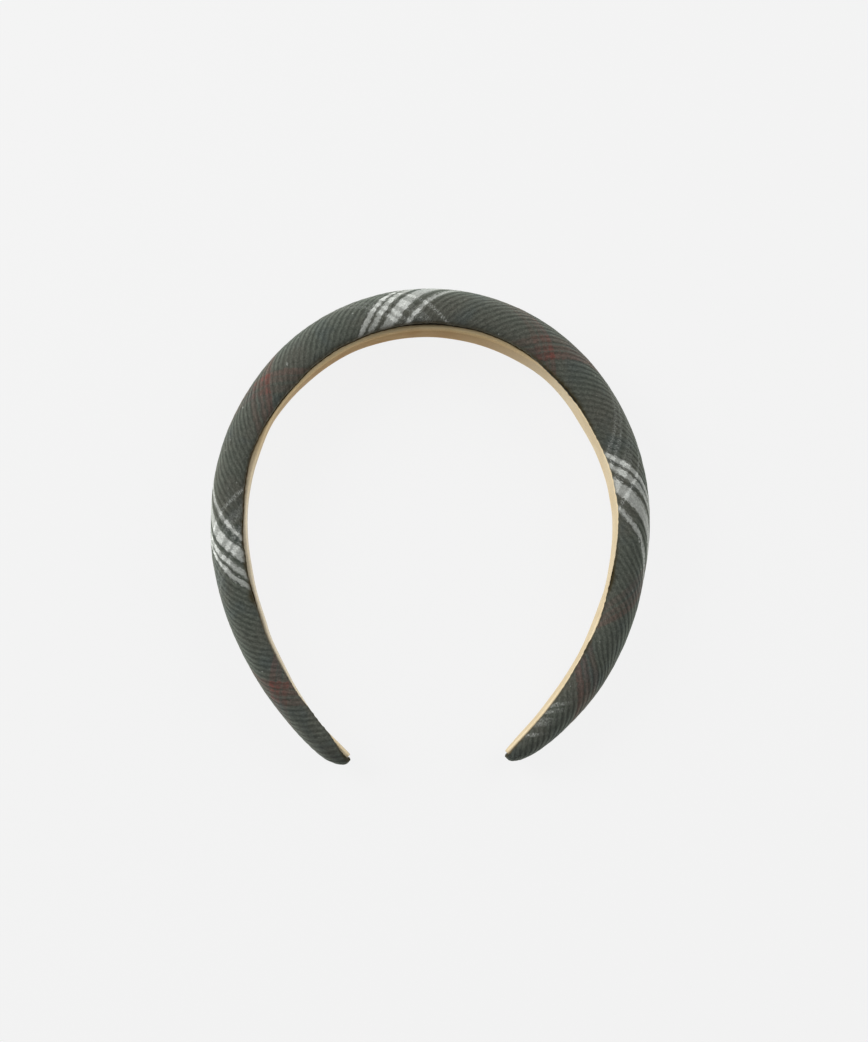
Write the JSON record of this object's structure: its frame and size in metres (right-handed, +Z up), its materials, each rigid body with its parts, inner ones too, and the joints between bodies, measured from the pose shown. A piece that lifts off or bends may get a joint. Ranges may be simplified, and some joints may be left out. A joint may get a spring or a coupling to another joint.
{
  "type": "padded headband",
  "caption": "Open hoop headband: a foam-padded, cloth-wrapped band, wide over the crown and tapering to rounded tips, with a thin soft lining strap along its inner face.",
  "frame": {"origin": "middle of the bounding box, on the surface that the band lies on", "axes": "+Y towards the crown, -Y towards the two tips, +Z up; the head goes through nearly along Z"},
  "size_m": [0.1512, 0.1626, 0.026],
  "materials": {
    "cover_cloth": "ribbed needlecord in a dark green and grey tartan with pale and thin red lines",
    "lining_cloth": "matte tan suede-like lining"
  },
  "bodies": {
    "root": {"padded_cover": "cover_cloth", "inner_lining": "lining_cloth"}
  },
  "joints": []
}
